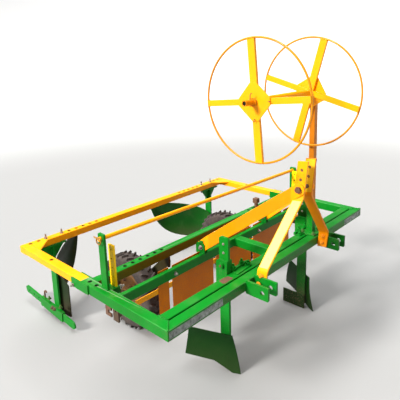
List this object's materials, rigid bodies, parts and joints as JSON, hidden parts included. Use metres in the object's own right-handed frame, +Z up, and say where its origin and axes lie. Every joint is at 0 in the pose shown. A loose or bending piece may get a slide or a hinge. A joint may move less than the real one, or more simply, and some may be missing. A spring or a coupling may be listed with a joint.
{
  "type": "mulch layer",
  "caption": "Tractor-mounted mulch layer: square-tube frame, linkage mast, wire film reel, bed shaper, ridging bodies, press wheels and rear covering wings.",
  "frame": {"origin": "on the ground, under the middle of the machine's bounding box", "axes": "+Z up, -Y forward to the tractor, +X the machine's left-hand side"},
  "size_m": [1.762, 1.803, 1.636],
  "materials": {
    "green_paint": "gloss enamel, worn at edges",
    "yellow_paint": "gloss enamel",
    "rim_paint": "dusty enamel",
    "steel": "zinc plated",
    "tyre": "dusty rubber"
  },
  "bodies": {
    "frame": {"toolbar_front_tube": "green_paint", "toolbar_rear_tube": "green_paint", "mid_cross_member": "green_paint", "rear_cross_tube": "green_paint", "centre_tie_tube": "green_paint", "stay_brackets": "green_paint", "guide_rod_uprights": "green_paint", "depth_clamps": "green_paint", "front_shank_sockets": "green_paint", "front_soles": "green_paint", "foot_sleeves": "green_paint", "side_tube_left": "green_paint", "side_tube_right": "green_paint", "side_splice_left": "green_paint", "side_splice_right": "green_paint", "lower_hitch_lugs_left": "green_paint", "lower_hitch_lugs_right": "green_paint", "front_shank_left": "green_paint", "front_shank_right": "green_paint", "front_body_left": "green_paint", "front_body_right": "green_paint", "rear_shank_left": "green_paint", "rear_shank_right": "green_paint", "rear_body_left": "green_paint", "rear_body_right": "green_paint", "foot_bar_left": "green_paint", "foot_bar_right": "green_paint", "wheel_arm_left": "green_paint", "wheel_arm_right": "green_paint", "rear_side_bar_left": "yellow_paint", "rear_side_bar_right": "yellow_paint", "rear_beam": "yellow_paint", "film_guide_rod": "yellow_paint", "depth_bars": "yellow_paint", "bed_shaper_panels": "yellow_paint", "shaper_rail": "yellow_paint", "reel_post": "yellow_paint", "mast_bar_left": "yellow_paint", "mast_bar_right": "yellow_paint", "back_stay_left": "yellow_paint", "back_stay_right": "yellow_paint", "film_hooks": "green_paint", "mast_pin": "steel", "reel_spindle": "yellow_paint"},
    "reel": {"reel_tube": "yellow_paint", "reel_disc_near": "yellow_paint", "reel_disc_far": "yellow_paint"},
    "press_wheel_left": {"tyre_left": "tyre", "wheel_rim_left": "rim_paint"},
    "press_wheel_right": {"tyre_right": "tyre", "wheel_rim_right": "rim_paint"}
  },
  "joints": [
    {"name": "reel_spin", "type": "hinge", "parent": "frame", "child": "reel", "pos_m": [0, -0.6105, 1.345], "axis": [1, 0, 0], "continuous": true},
    {"name": "wheel_left_spin", "type": "hinge", "parent": "frame", "child": "press_wheel_left", "pos_m": [0.437, 0.1255, 0.225], "axis": [1, 0, 0], "continuous": true},
    {"name": "wheel_right_spin", "type": "hinge", "parent": "frame", "child": "press_wheel_right", "pos_m": [-0.437, 0.1255, 0.225], "axis": [1, 0, 0], "continuous": true}
  ]
}
